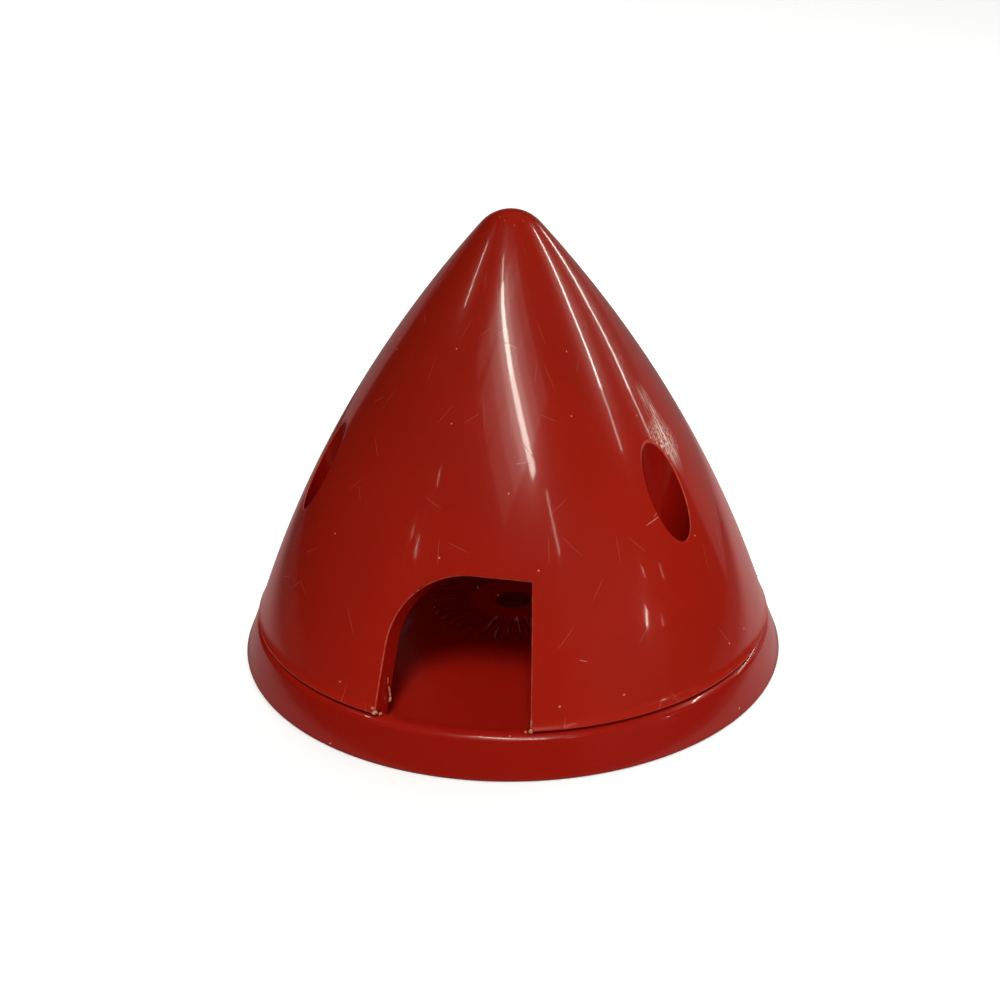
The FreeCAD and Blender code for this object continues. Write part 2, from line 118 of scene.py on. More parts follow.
HEAD_RADIUS = 2.8
HEAD_HEIGHT = 2.3
HEAD_ROUNDING = 1.2
HEAD_EDGE = 0.08
NECK_FILLET = 0.15
RECESS_ARM = 1.5
RECESS_HALF_WIDTH = 0.45
RECESS_DEPTH = 1.4
SCREW_LENGTH = 9.5
SCREW_CORE = 1.12
SCREW_POINT = 2.4
POINT_RADIUS = 0.3
POINT_BLUNT = 0.05
THREAD_RADIUS = 1.45
THREAD_PITCH = 1.1
THREAD_RUNOUT = 0.6
THREAD_START = 0.02
THREAD_GROWTH = 0.33
THREAD_ROOT_DEPTH = 0.25
THREAD_ROOT_HALF = 0.3
THREAD_CREST_HALF = 0.04

# Small edges: a burnished break where the cone is cut, and a moulded one on the plate.
CUT_BREAK = 0.12
PLATE_BREAK = 0.15

# Facets round the axis and along the curves. 288 divides by the blades and by the ribs.
AROUND = 288
AROUND_WELL = 120
AROUND_BOSS = 96
AROUND_SCREW = 64
AROUND_PILOT = 48
SIDE_STEPS = 84
TIP_STEPS = 12
INNER_SIDE_STEPS = 44
INNER_TIP_STEPS = 8
HEAD_STEPS = 10
THREAD_STEPS = 24

# Degrees that an edge has to turn to stay sharp.
SHARP_FROM = 28
SCREW_SHARP_FROM = 32

# Slots of the cone's materials. Slot 0 is its skin; INSIDE, the walls of the openings and
# wells, takes a darker copy of the nylon as painted shade.
CUT_EDGE, TORN, INSIDE = 1, 2, 3

# Bites out of the opening's rounded edge: across, up, size and lean in degrees.
NICKS = ((-3.9, 14.2, 0.5, 35), (-4.6, 13.6, 0.3, 50))


# Curves of the sections


def arc(centre_r, centre_z, radius, start, end, steps):
    """Points of an arc in the r, z plane, with both ends, in degrees."""
    turns = [math.radians(start + (end - start) * k / steps) for k in range(steps + 1)]
    return [(centre_r + radius * math.cos(a), centre_z + radius * math.sin(a)) for a in turns]


def ogive_centre():
    """Centre of the side's curve, which starts at the lower edge and rolls into the tip."""
    edge = Vector((CONE_RADIUS, CONE_EDGE))
    tip = Vector((0, HEIGHT - TIP_RADIUS))
    span = edge - tip
    reach = OGIVE_RADIUS - TIP_RADIUS
    along = (reach ** 2 - OGIVE_RADIUS ** 2 + span.length ** 2) / (2 * span.length)
    across = math.sqrt(reach ** 2 - along ** 2)
    way = span.normalized()
    return tip + way * along + Vector((way.y, -way.x)) * across


OGIVE = ogive_centre()


def side_turn(level, radius):
    """Degrees round the ogive's centre at which a curve of this radius has this level."""
    return math.degrees(math.asin((level - OGIVE.y) / radius))


def outer_side(inset=0.0):
    """Cone's outside from the axis at the tip to the lower edge, or as far inside it."""
    tip_level = HEIGHT - TIP_RADIUS
    meeting = math.degrees(math.atan2(tip_level - OGIVE.y, -OGIVE.x))
    radius = OGIVE_RADIUS - inset
    tip = arc(0, tip_level, TIP_RADIUS - inset, 90, meeting, TIP_STEPS)
    side = arc(OGIVE.x, OGIVE.y, radius, meeting, side_turn(CONE_EDGE, radius), SIDE_STEPS)
    return tip + side[1:]


def inner_side():
    """Cone's inside from the lip up to the axis."""
    radius = OGIVE_RADIUS - CONE_WALL
    reach = radius - INNER_TIP_RADIUS
    tip_level = OGIVE.y + math.sqrt(reach ** 2 - OGIVE.x ** 2)
    meeting = math.degrees(math.atan2(tip_level - OGIVE.y, -OGIVE.x))
    start = side_turn(FLOOR_LEVEL, radius)
    side = arc(OGIVE.x, OGIVE.y, radius, start, meeting, INNER_SIDE_STEPS)
    return side + arc(0, tip_level, INNER_TIP_RADIUS, meeting, 90, INNER_TIP_STEPS)[1:]


def skin_level(radius, inset=0.0):
    """Level of the cone's outside, or as far inside it, at a distance from the axis."""
    reach = OGIVE_RADIUS - inset
    return OGIVE.y + math.sqrt(reach ** 2 - (radius - OGIVE.x) ** 2)


# Modelling steps


def deselect():
    bpy.ops.object.select_all(action="DESELECT")


def pick(piece):
    """Selects one piece and makes it the active one."""
    deselect()
    piece.select_set(True)
    bpy.context.view_layer.objects.active = piece


def named(name):
    piece = bpy.context.object
    piece.name = name
    piece.data.name = name
    return piece


def edit():
    bpy.ops.object.mode_set(mode="EDIT")


def leave():
    bpy.ops.object.mode_set(mode="OBJECT")


def lathe(name, outline, steps=AROUND):
    """Turns an outline of radii and levels in millimetres once round the axis."""
    deselect()
    bpy.ops.mesh.primitive_plane_add(size=MM)
    piece = named(name)
    edit()
    bpy.ops.mesh.merge(type="CENTER")
    points = [Vector((radius, 0, level)) * MM for radius, level in outline]
    bpy.ops.transform.translate(value=points[0])
    for start, end in zip(points, points[1:]):
        bpy.ops.mesh.extrude_region_move(TRANSFORM_OT_translate={"value": end - start})
    bpy.ops.mesh.select_all(action="SELECT")
    bpy.ops.mesh.spin(steps=steps, angle=2 * math.pi, center=(0, 0, 0), axis=(0, 0, 1))
    bpy.ops.mesh.select_all(action="SELECT")
    bpy.ops.mesh.remove_doubles(threshold=0.001 * MM)
    bpy.ops.mesh.normals_make_consistent(inside=False)
    leave()
    return piece


def loft(name, rings, edge_band=None):
    """Closed solid through rings of equally many points, in millimetres.

    Faces keep their material when they are cut into another piece. In a cutter that has
    an edge band, the bands below it cut the wall's inside and this one its broken edge.
    """
    count = len(rings[0])
    points = [Vector(point) * MM for ring in rings for point in ring]
    faces = []
    for ring in range(len(rings) - 1):
        low, high = ring * count, (ring + 1) * count
        for k in range(count):
            after = (k + 1) % count
            faces.append((low + k, low + after, high + after, high + k))
    faces.append(tuple(reversed(range(count))))
    faces.append(tuple(range(len(points) - count, len(points))))
    mesh = bpy.data.meshes.new(name)
    mesh.from_pydata(points, [], faces)
    if edge_band is not None:
        for face in mesh.polygons[:edge_band * count]:
            face.material_index = INSIDE
        for face in mesh.polygons[edge_band * count:(edge_band + 1) * count]:
            face.material_index = CUT_EDGE
    piece = bpy.data.objects.new(name, mesh)
    bpy.context.scene.collection.objects.link(piece)
    pick(piece)
    edit()
    bpy.ops.mesh.select_all(action="SELECT")
    bpy.ops.mesh.normals_make_consistent(inside=False)
    leave()
    return piece


def block(name, low, high):
    """Box between two corners in millimetres."""
    deselect()
    middle = (Vector(low) + Vector(high)) / 2 * MM
    bpy.ops.mesh.primitive_cube_add(size=1, location=middle)
    piece = named(name)
    piece.scale = (Vector(high) - Vector(low)) * MM
    bpy.ops.object.transform_apply(location=True, rotation=True, scale=True)
    return piece


def join(piece, others):
    pick(piece)
    for other in others:
        other.select_set(True)
    bpy.ops.object.join()
    return piece


def turned(piece, angle):
    """Turns a piece round the part's axis, with its place kept in its mesh."""
    piece.data.transform(Matrix.Rotation(angle, 4, "Z"))
    return piece


def repeat(piece, count):
    """Copies a piece round the axis and joins the copies to it."""
    copies = []
    for k in range(1, count):
        copy = piece.copy()
        copy.data = piece.data.copy()
        bpy.context.scene.collection.objects.link(copy)
        copies.append(turned(copy, 2 * math.pi * k / count))
    return join(piece, copies)


def combine(piece, tool, how):
    """Adds a tool to a piece, cuts it from the piece or keeps what they share."""
    pick(piece)
    step = piece.modifiers.new(how.lower(), "BOOLEAN")
    step.operation = how
    step.object = tool
    step.solver = "EXACT"
    bpy.ops.object.modifier_apply(modifier=step.name)
    bpy.data.objects.remove(tool)
    return piece


def smooth(piece, degrees):
    """Shades smooth, but keeps edges that turn more than this."""
    pick(piece)
    bpy.ops.object.shade_smooth_by_angle(angle=math.radians(degrees))


def finish_piece(piece, slot, *nodes):
    """Says which solids the piece stands for. The slot is not used."""
    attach(piece, "root")
    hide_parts(*nodes)


def paint(piece, *materials):
    for material in materials:
        piece.data.materials.append(material)
    return piece


# Materials


def colour(code):
    """sRGB hex to the linear colour that a shader takes."""
    channels = [int(code[k:k + 2], 16) / 255 for k in (1, 3, 5)]
    linear = [c / 12.92 if c <= 0.04045 else ((c + 0.055) / 1.055) ** 2.4 for c in channels]
    return (*linear, 1.0)


def add_node(tree, kind, settings=(), **inputs):
    """Adds a node. A value that is a socket is linked, and any other is set."""
    node = tree.nodes.new(kind)
    for name, value in dict(settings).items():
        setattr(node, name, value)
    for name, value in inputs.items():
        key = int(name[1:]) if name[0] == "i" and name[1:].isdigit() else name.replace("_", " ")
        if isinstance(value, bpy.types.NodeSocket):
            tree.links.new(value, node.inputs[key])
        else:
            node.inputs[key].default_value = value
    return node


def new_material(name):
    material = bpy.data.materials.new(name)
    material.use_nodes = True
    material.node_tree.nodes.clear()
    return material, material.node_tree


# Deeper scratches: azimuth from -Y towards +X, level, length, width, slope, strength.
SCRATCHES = (
    (12.9, 44.2, 3.4, 0.1, -12, 0.28),
    (18.4, 33.4, 2.4, 0.1, -45, 0.35),
    (51.2, 24.6, 3.2, 0.08, 10, 0.45),
    (53.0, 25.2, 1.3, 0.07, 24, 0.3),
    (-10.3, 23.6, 2.4, 0.1, 80, 0.2),
    (27.0, 12.1, 1.0, 0.1, -20, 0.3),
    (16.5, 32.4, 2.6, 0.08, 5, 0.16))

# Scuffs above the well at the right: middle and half size on the unrolled side, how far
# the streaks are drawn out along it (less is longer), and how wide one streak is. Their
# pale colour is partly a painted highlight, for the glints that the streaks catch.
SCUFFS_AND_GLINTS = (
    ((36.6, 33.2), (2.3, 5.8), 0.1, 0.26),
    ((35.9, 31.8), (4.2, 3.0), 0.6, 0.26))


def nylon_place(tree):
    """Place on the cone's side, unrolled: along it at 30 mm from the axis, and level."""
    place = add_node(tree, "ShaderNodeTexCoord").outputs["Object"]
    apart = add_node(tree, "ShaderNodeSeparateXYZ", Vector=place)
    front = add_node(tree, "ShaderNodeMath", {"operation": "MULTIPLY"},
                     i0=apart.outputs["Y"], i1=-1.0)
    turn = add_node(tree, "ShaderNodeMath", {"operation": "ARCTAN2"},
                    i0=apart.outputs["X"], i1=front.outputs[0])
    along = add_node(tree, "ShaderNodeMath", {"operation": "MULTIPLY"},
                     i0=turn.outputs[0], i1=OPENING_GAUGE * MM)
    unrolled = add_node(tree, "ShaderNodeCombineXYZ", X=along.outputs[0], Y=apart.outputs["Z"])
    return place, unrolled.outputs["Vector"]


def short_marks(tree, place, cell, length, width, aim, spread, share):
    """Mask of short straight marks, one in each chosen cell of a scatter.

    Cell, length and width are millimetres. The marks lie within a spread of the aim, in
    degrees, and the share says how many cells have one.
    """
    cells = add_node(tree, "ShaderNodeTexVoronoi", {"voronoi_dimensions": "2D"},
                     Vector=place, Scale=1 / (cell * MM))
    lot = add_node(tree, "ShaderNodeSeparateColor", Color=cells.outputs["Color"])
    offset = add_node(tree, "ShaderNodeVectorMath", {"operation": "SUBTRACT"},
                      i0=place, i1=cells.outputs["Position"])
    angle = add_node(tree, "ShaderNodeMapRange", Value=lot.outputs["Red"],
                     i3=math.radians(aim - spread), i4=math.radians(aim + spread))
    spun = add_node(tree, "ShaderNodeVectorRotate", {"rotation_type": "Z_AXIS"},
                    Vector=offset.outputs[0], Angle=angle.outputs["Result"])
    chosen = add_node(tree, "ShaderNodeMath", {"operation": "LESS_THAN"},
                      i0=lot.outputs["Green"], i1=share)
    return line_mask(tree, spun.outputs[0], length, width, chosen.outputs[0])


def placed_mark(tree, place, azimuth, level, length, width, aim, strength):
    """Mask of one scratch at an azimuth and a level of the cone's side."""
    spot = (math.radians(azimuth) * OPENING_GAUGE * MM, level * MM, 0)
    offset = add_node(tree, "ShaderNodeVectorMath", {"operation": "SUBTRACT"}, i0=place, i1=spot)
    spun = add_node(tree, "ShaderNodeVectorRotate", {"rotation_type": "Z_AXIS"},
                    Vector=offset.outputs[0], Angle=math.radians(-aim))
    return line_mask(tree, spun.outputs[0], length, width, strength)


def line_mask(tree, offset, length, width, mask):
    """Fades a mask out away from a short line, in millimetres."""
    apart = add_node(tree, "ShaderNodeSeparateXYZ", Vector=offset)
    for axis, size in (("X", length), ("Y", width)):
        away = add_node(tree, "ShaderNodeMath", {"operation": "ABSOLUTE"}, i0=apart.outputs[axis])
        fade = add_node(tree, "ShaderNodeMapRange", Value=away.outputs[0],
                        i1=size * MM / 4, i2=size * MM / 2, i3=1.0, i4=0.0)
        mask = add_node(tree, "ShaderNodeMath", {"operation": "MULTIPLY"},
                        i0=mask, i1=fade.outputs["Result"]).outputs[0]
    return mask


def scuff_and_glint_mask(tree, place, middle, half_size, stretch, grain):
    """Mask of streaks within a soft-edged oval of the unrolled side, in millimetres. The streaks
    are real scuffs, and their pale colour also paints their glints as highlight.
    """
    oval = add_node(tree, "ShaderNodeVectorMath", {"operation": "SUBTRACT"},
                    i0=place, i1=(middle[0] * MM, middle[1] * MM, 0))
    oval = add_node(tree, "ShaderNodeVectorMath", {"operation": "MULTIPLY"},
                    i0=oval.outputs[0],
                    i1=(1 / (half_size[0] * MM), 1 / (half_size[1] * MM), 0))
    oval = add_node(tree, "ShaderNodeVectorMath", {"operation": "LENGTH"}, i0=oval.outputs[0])
    oval = add_node(tree, "ShaderNodeMapRange", Value=oval.outputs["Value"],
                    i1=0.2, i2=1.0, i3=1.0, i4=0.0)
    streaks = add_node(tree, "ShaderNodeVectorMath", {"operation": "MULTIPLY"},
                       i0=place, i1=(1, stretch, 1))
    streaks = add_node(tree, "ShaderNodeTexNoise", Vector=streaks.outputs[0],
                       Scale=1 / (grain * MM), Detail=2.0)
    streaks = add_node(tree, "ShaderNodeMapRange", Value=streaks.outputs["Fac"],
                       i1=0.46, i2=0.62)
    return add_node(tree, "ShaderNodeMath", {"operation": "MULTIPLY"},
                    i0=streaks.outputs["Result"], i1=oval.outputs["Result"]).outputs[0]


def wear_and_glint_mask(tree, place):
    """Hairline scratches from handling, a few deeper ones and the scuffs, all as one mask. In the
    scuffs, the pale colour it drives is partly a painted highlight for their glints.
    """
    hairs = short_marks(tree, place, cell=4.5, length=3.4, width=0.09, aim=90, spread=75,
                        share=0.3)
    marks = add_node(tree, "ShaderNodeMath", {"operation": "MULTIPLY"},
                     i0=hairs, i1=0.08).outputs[0]
    masks = [placed_mark(tree, place, *scratch) for scratch in SCRATCHES]
    masks += [scuff_and_glint_mask(tree, place, *scuff) for scuff in SCUFFS_AND_GLINTS]
    for mask in masks:
        marks = add_node(tree, "ShaderNodeMath", {"operation": "MAXIMUM"},
                         i0=marks, i1=mask).outputs[0]
    return marks


def moulded_nylon(name, base, deep, worn):
    """Injection-moulded nylon 6: red through and through, glossy as the mould left it."""
    material, tree = new_material(name)
    place, unrolled = nylon_place(tree)
    # Clouds 20 mm across, where the pigment flowed unevenly, over a tone that darkens from
    # 15 mm up the side to 48 mm.
    clouds = add_node(tree, "ShaderNodeTexNoise", Vector=place, Scale=1 / (20 * MM), Detail=3.0)
    level = add_node(tree, "ShaderNodeSeparateXYZ", Vector=unrolled).outputs["Y"]
    level = add_node(tree, "ShaderNodeMapRange", Value=level, i1=15 * MM, i2=48 * MM,
                     i3=-0.35, i4=0.6)
    share = add_node(tree, "ShaderNodeMath", {"operation": "ADD", "use_clamp": True},
                     i0=clouds.outputs["Fac"], i1=level.outputs["Result"])
    tint = add_node(tree, "ShaderNodeMix", {"data_type": "RGBA"},
                    i0=share.outputs[0], i6=colour(base), i7=colour(deep)).outputs[2]
    # Waves 14 mm long from shrinkage, which make the reflected lamps waver, and a fine
    # orange peel of 1.3 mm.
    waves = add_node(tree, "ShaderNodeTexNoise", Vector=place, Scale=70.0, Detail=1.0)
    peel = add_node(tree, "ShaderNodeTexNoise", Vector=place, Scale=750.0, Detail=2.0)
    bump = add_node(tree, "ShaderNodeBump", Distance=0.022 * MM, Height=waves.outputs["Fac"])
    bump = add_node(tree, "ShaderNodeBump", Distance=0.0016 * MM, Height=peel.outputs["Fac"],
                    Normal=bump.outputs["Normal"])
    rough = add_node(tree, "ShaderNodeMapRange", Value=clouds.outputs["Fac"], i3=0.2, i4=0.26)
    rough = rough.outputs["Result"]
    # Dust specks, a little larger than real ones so as to show, on both mouldings.
    dust = short_marks(tree, unrolled, cell=7.0, length=0.26, width=0.2, aim=0, spread=0,
                       share=0.25)
    tint = add_node(tree, "ShaderNodeMix", {"data_type": "RGBA"},
                    i0=dust, i6=tint, i7=colour("#e0a08c")).outputs[2]
    gloss = 0.05
    if worn:
        # A mark is a groove that scatters the light, so it looks pale and dull. On the scuffs
        # the near-white colour is also a painted highlight, for their glints.
        marks = wear_and_glint_mask(tree, unrolled)
        tint = add_node(tree, "ShaderNodeMix", {"data_type": "RGBA"},
                        i0=marks, i6=tint, i7=colour("#ffe2d2")).outputs[2]
        bump = add_node(tree, "ShaderNodeBump", Distance=0.02 * MM, Height=marks,
                        Normal=bump.outputs["Normal"])
        gloss = add_node(tree, "ShaderNodeMapRange", Value=marks, i3=0.05, i4=0.3)
        gloss = gloss.outputs["Result"]
    # A sharp reflection over a hazy one, as on plastic that was wiped and handled. Light
    # goes up to a millimetre into the nylon, and comes out redder.
    shader = add_node(tree, "ShaderNodeBsdfPrincipled", Base_Color=tint, Roughness=rough,
                      IOR=1.53, Specular_IOR_Level=0.4, Normal=bump.outputs["Normal"],
                      Coat_Weight=1.0, Coat_IOR=1.5, Coat_Roughness=gloss,
                      Coat_Normal=bump.outputs["Normal"], Subsurface_Weight=0.5,
                      Subsurface_Scale=1.0 * MM, Subsurface_Radius=(1.0, 0.12, 0.06))
    output = add_node(tree, "ShaderNodeOutputMaterial")
    tree.links.new(shader.outputs["BSDF"], output.inputs["Surface"])
    return material


def pulled_nylon(name, base, pale, size):
    """Nylon that a blade cut or tore: crazed inside, so it scatters paler than the rest. On the
    cut edges the paler colour is partly a painted highlight, for the light line that a rounded
    edge catches.

    The size is that of its grain in millimetres, somewhat coarser than real so as to show.
    """
    material, tree = new_material(name)
    place = add_node(tree, "ShaderNodeTexCoord").outputs["Object"]
    grain = add_node(tree, "ShaderNodeTexNoise", Vector=place, Scale=1 / (size * MM), Detail=3.0)
    share = add_node(tree, "ShaderNodeMapRange", Value=grain.outputs["Fac"], i1=0.35, i2=0.65)
    tint = add_node(tree, "ShaderNodeMix", {"data_type": "RGBA"},
                    i0=share.outputs["Result"], i6=colour(base), i7=colour(pale))
    bump = add_node(tree, "ShaderNodeBump", Distance=0.03 * MM, Height=grain.outputs["Fac"])
    shader = add_node(tree, "ShaderNodeBsdfPrincipled", Base_Color=tint.outputs[2],
                      Roughness=0.5, IOR=1.53, Normal=bump.outputs["Normal"],
                      Subsurface_Weight=0.6, Subsurface_Scale=0.3 * MM)
    output = add_node(tree, "ShaderNodeOutputMaterial")
    tree.links.new(shader.outputs["BSDF"], output.inputs["Surface"])
    return material


def zinc_plate(name):
    """Zinc-plated steel: satin, slightly blue, with clouds 1.1 mm across in the plating."""
    material, tree = new_material(name)
    place = add_node(tree, "ShaderNodeTexCoord").outputs["Object"]
    clouds = add_node(tree, "ShaderNodeTexNoise", Vector=place, Scale=900.0, Detail=4.0)
    tint = add_node(tree, "ShaderNodeMix", {"data_type": "RGBA"}, i0=clouds.outputs["Fac"],
                    i6=colour("#b9bcc0"), i7=colour("#8f9297"))
    rough = add_node(tree, "ShaderNodeMapRange", Value=clouds.outputs["Fac"], i3=0.28, i4=0.45)
    shader = add_node(tree, "ShaderNodeBsdfPrincipled", Metallic=1.0)
    tree.links.new(tint.outputs[2], shader.inputs["Base Color"])
    tree.links.new(rough.outputs["Result"], shader.inputs["Roughness"])
    output = add_node(tree, "ShaderNodeOutputMaterial")
    tree.links.new(shader.outputs["BSDF"], output.inputs["Surface"])
    return material


# Cone


def opening_outline(offset=0.0):
    """Blade opening seen from outside, at the gauge distance, sizes from the cone's edge."""
    left = -OPENING_LEFT - offset
    top = OPENING_HEIGHT + offset
    radius = OPENING_CORNER + offset
    corner = -OPENING_LEFT + OPENING_CORNER, OPENING_HEIGHT - OPENING_CORNER
    left_steps, corner_steps, top_steps, right_steps = 12, 28, 8, 24
    rise = corner[1] + OPENING_DROP
    outline = [(left, -OPENING_DROP + k * rise / left_steps) for k in range(left_steps)]
    outline += arc(*corner, radius, 180, 90, corner_steps)
    right_top = OPENING_RIGHT + OPENING_HEIGHT * OPENING_LEAN + offset
    for k in range(1, top_steps + 1):
        outline.append((corner[0] + (right_top - corner[0]) * k / top_steps, top))
    right_low = OPENING_RIGHT - OPENING_DROP * OPENING_LEAN + offset
    for k in range(1, right_steps + 1):
        share = k / right_steps
        level = top + (-OPENING_DROP - top) * share
        outline.append((right_top + (right_low - right_top) * share, level))
    return outline


def opening_ray(across, up, distance):
    """Point of the opening at a distance from the axis. All its sides run to one point."""
    scale = distance / OPENING_GAUGE
    return Vector((across * scale, -distance, CONE_EDGE + up * scale))


def skin_distance(across, up, inset):
    """How far from the axis a side of the opening meets the skin, or a layer inside it."""
    side, rise = across / OPENING_GAUGE, up / OPENING_GAUGE
    run = math.hypot(side, 1)
    height = CONE_EDGE - OGIVE.y
    a = run ** 2 + rise ** 2
    b = 2 * (rise * height - run * OGIVE.x)
    c = OGIVE.x ** 2 + height ** 2 - (OGIVE_RADIUS - inset) ** 2
    return (-b + math.sqrt(b * b - 4 * a * c)) / (2 * a)


def run_on(under, skin):
    """Ring that carries a broken edge on past the skin, so that the cut leaves it cleanly."""
    return [low + (high - low) * 4 for low, high in zip(under, skin)]


def opening_cutter():
    """Cuts one blade opening and breaks its edge where it meets the skin."""
    inside = [opening_ray(x, z, OPENING_GAUGE / 2) for x, z in opening_outline()]
    under = [opening_ray(x, z, skin_distance(x, z, CUT_BREAK)) for x, z in opening_outline()]
    skin = [opening_ray(x, z, skin_distance(x, z, 0)) for x, z in opening_outline(CUT_BREAK)]
    flare = run_on(under, skin)
    outside = [Vector((point.x, -FLANGE_RADIUS - CONE_WALL, point.z)) for point in flare]
    return loft("opening_cutter", [inside, under, flare, outside], edge_band=1)


def well_cutter():
    """Cuts one screw hole and well and breaks the edge where the well meets the skin."""
    turns = [2 * math.pi * k / AROUND_WELL for k in range(AROUND_WELL)]

    def ring(radius, level=None):
        """Ring at a level, or on the skin where no level is given."""
        rim = []
        for turn in turns:
            x = WELL_CIRCLE + radius * math.cos(turn)
            y = radius * math.sin(turn)
            z = skin_level(math.hypot(x, y)) if level is None else level
            rim.append(Vector((x, y, z)))
        return rim

    under = ring(WELL_RADIUS, 0)
    for point in under:
        point.z = skin_level(math.hypot(point.x, point.y), CUT_BREAK)
    skin = ring(WELL_RADIUS + CUT_BREAK)
    flare = run_on(under, skin)
    above = [Vector((point.x, point.y, HEIGHT)) for point in flare]
    rings = [ring(SCREW_HOLE_RADIUS, FLOOR_LEVEL), ring(SCREW_HOLE_RADIUS, SCREW_SEAT),
             ring(WELL_RADIUS, SCREW_SEAT), under, flare, above]
    return turned(loft("well_cutter", rings, edge_band=3), FIRST_WELL)


def make_towers():
    """Towers round the wells with their webs, trimmed inside the wall."""
    outline = [(0, BOSS_TOP), (TOWER_RADIUS, BOSS_TOP), (TOWER_RADIUS, HEIGHT), (0, HEIGHT)]
    tower = lathe("towers", outline, steps=AROUND_WELL)
    tower.data.transform(Matrix.Translation((WELL_CIRCLE * MM, 0, 0)))
    middle = CONE_WALL / 2
    reach = CONE_RADIUS - middle
    web = block("web", (WELL_CIRCLE, -WEB_WIDTH / 2, BOSS_TOP), (reach, WEB_WIDTH / 2, HEIGHT))
    combine(tower, web, "UNION")
    turned(tower, FIRST_WELL)
    repeat(tower, BLADES)
    side = outer_side(middle)
    blank = lathe("blank", side + [(side[-1][0], FLOOR_LEVEL), (0, FLOOR_LEVEL)])
    return combine(tower, blank, "INTERSECT")


def make_shreds(*materials):
    """Torn nylon that the cutter left at the lower corners and on one side of an opening."""
    left, right = -OPENING_LEFT, OPENING_RIGHT
    edge, inner = CONE_RADIUS, CONE_RADIUS - CONE_WALL
    # Across and up in the opening, distance from the axis, half sizes, lean in degrees.
    places = (
        (left, 0.1, edge - 0.2, (0.4, 0.3, 0.26), 20),
        (left - 0.25, 0.5, edge - 0.1, (0.2, 0.2, 0.3), 5),
        (left + 0.4, -0.1, edge - 0.5, (0.26, 0.18, 0.14), -30),
        (left + 0.3, 0.4, inner - 0.1, (0.14, 0.16, 0.5), 10),
        (left + 0.35, 1.5, inner, (0.1, 0.14, 0.7), -8),
        (left + 0.2, 2.8, inner, (0.08, 0.12, 0.5), 5),
        (right + 0.1, 0.05, edge - 0.2, (0.34, 0.3, 0.28), -15),
        (right + 0.05, 0.7, edge - 0.2, (0.1, 0.12, 0.6), 6),
        (right - 0.45, -0.2, edge - 0.3, (0.2, 0.18, 0.12), 35),
        (right - 2.1, -0.35, edge + 0.1, (0.13, 0.12, 0.1), 0))
    chance = random.Random(7)
    shreds = []
    for across, up, distance, size, lean in places:
        deselect()
        bpy.ops.mesh.primitive_ico_sphere_add(subdivisions=3, radius=MM)
        shred = named("shreds")
        # Nine lumps in chance directions make a ball look pulled and frayed.
        lumps = [Vector([chance.uniform(-1, 1) for _ in range(3)]).normalized() for _ in range(9)]
        for point in shred.data.vertices:
            way = point.co.normalized()
            swell = sum(max(0, way.dot(lump)) ** 6 for lump in lumps)
            point.co = point.co * (0.72 + 0.34 * swell)
        reach = distance * OPENING_GAUGE / math.hypot(across, OPENING_GAUGE)
        spot = opening_ray(across, up, reach)
        twist = Matrix.Rotation(chance.uniform(-0.4, 0.4), 4, "Z")
        turn = Matrix.Rotation(math.radians(lean), 4, "Y") @ twist
        stretch = Matrix.Diagonal((*size, 1))
        shred.data.transform(Matrix.Translation(spot * MM) @ turn @ stretch)
        paint(shred, *materials)
        for face in shred.data.polygons:
            face.material_index = TORN
        shreds.append(shred)
    return join(shreds[0], shreds[1:])


def make_nicks():
    """Small bites out of the opening's rounded edge, where the cutter jumped."""
    nicks = []
    for across, up, size, lean in NICKS:
        spot = opening_ray(across, up, skin_distance(across, up, 0))
        deselect()
        bpy.ops.mesh.primitive_cube_add(size=size * MM)
        nick = named("nicks")
        turn = Matrix.Rotation(math.radians(lean), 4, "Y")
        nick.data.transform(Matrix.Translation(spot * MM) @ turn)
        nicks.append(nick)
    return nicks


def lower_edge(radius, level):
    """Section of the bead round the cone's lower edge, and of the lip under it."""
    return [(radius - BEAD_TOP_INSET, level + BEAD_START),
            (radius + BEAD_SIZE, level + BEAD_CREST), (radius + BEAD_SIZE, level + BEAD_SIZE),
            (radius - BEAD_LOW_INSET, level), (LIP_RADIUS, CONE_EDGE),
            (LIP_RADIUS, FLOOR_LEVEL + LIP_CHAMFER), (LIP_RADIUS - LIP_CHAMFER, FLOOR_LEVEL)]


def make_cone(*materials):
    """Thin shell with its towers, cut open for the blades and the screws, and worn."""
    outer = outer_side()
    edge = outer.pop()
    outline = outer + lower_edge(*edge)
    cone = paint(lathe("cone_shell", outline + inner_side()), *materials)
    combine(cone, make_towers(), "UNION")
    for cutter in (opening_cutter(), well_cutter()):
        combine(cone, repeat(paint(cutter, *materials), BLADES), "DIFFERENCE")
    for nick in make_nicks():
        combine(cone, nick, "DIFFERENCE")
    join(cone, [repeat(make_shreds(*materials), BLADES)])
    smooth(cone, SHARP_FROM)
    finish_piece(cone, "red_nylon", "spinner_cone")


# Backplate


